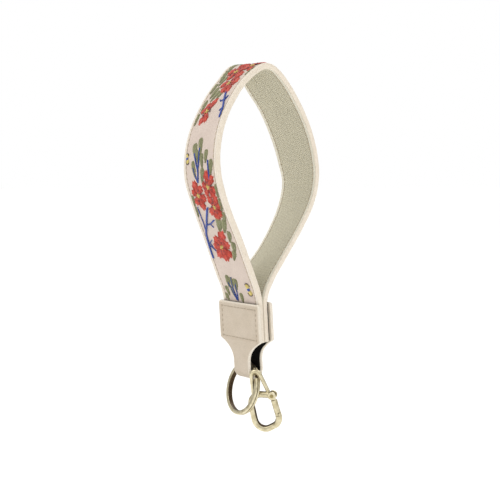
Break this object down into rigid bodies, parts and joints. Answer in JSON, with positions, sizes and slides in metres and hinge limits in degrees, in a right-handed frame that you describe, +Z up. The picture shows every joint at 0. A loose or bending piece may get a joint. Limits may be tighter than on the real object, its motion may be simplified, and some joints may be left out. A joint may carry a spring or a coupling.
{
  "type": "wristlet keychain",
  "caption": "Wristlet keychain: embroidered, lined strap folded into a wrist loop, sewn into a leather tab that holds a split ring and a sprung clip.",
  "frame": {"origin": "the inside of the wrist loop at its top, where the loop hangs from a wrist or a hook", "axes": "+Z up, +X across the strap's width, the embroidered front half of the strap and the front leaf of the tab face -Y"},
  "size_m": [0.0384, 0.0793, 0.204],
  "materials": {
    "blush_leather": "smooth",
    "stiffener": "felted",
    "twill_lining": "woven twill",
    "edge_paint": "satin edge paint",
    "sewing_thread": "twisted thread",
    "red_thread": "satin stitched thread",
    "yellow_thread": "satin stitched thread",
    "green_thread": "satin stitched thread",
    "blue_thread": "satin stitched thread",
    "tab_leather": "fine grain",
    "black_lining": "matt",
    "antique_brass": "antique, polished",
    "spring_steel": "drawn wire"
  },
  "bodies": {
    "strap": {"strap_face": "blush_leather", "strap_core": "stiffener", "strap_lining": "twill_lining", "edge_paint_near": "edge_paint", "edge_paint_far": "edge_paint", "topstitch_near": "sewing_thread", "topstitch_far": "sewing_thread", "embroidered_blossoms": "red_thread", "blossom_centres": "yellow_thread", "embroidered_leaves": "green_thread", "embroidered_branches": "blue_thread", "embroidered_butterflies": "yellow_thread", "tab_leather": "tab_leather", "tab_lining": "black_lining", "tab_stitching_front": "sewing_thread", "tab_stitching_back": "sewing_thread"},
    "ring": {"split_ring": "antique_brass"},
    "clip": {"clip_body": "antique_brass", "gate_pin": "antique_brass", "gate_spring": "spring_steel"},
    "gate": {"clip_gate": "antique_brass"}
  },
  "joints": [
    {"name": "ring_swing", "type": "hinge", "parent": "strap", "child": "ring", "pos_m": [-0.001, 0.00266, -0.16471], "axis": [1, 0, 0], "range_deg": [-20, 50]},
    {"name": "clip_swing", "type": "hinge", "parent": "ring", "child": "clip", "pos_m": [0.01056, -0.0006, -0.16923], "axis": [-0.4535, 0.3076, 0.8365], "range_deg": [-12, 0]},
    {"name": "gate_open", "type": "hinge", "parent": "clip", "child": "gate", "pos_m": [0.0177, 0.00443, -0.1773], "axis": [-0.4963, 0.8596, 0.1219], "range_deg": [0, 36], "stiffness_Nm_per_rad": 0.0004, "springref_deg": -5.73}
  ]
}
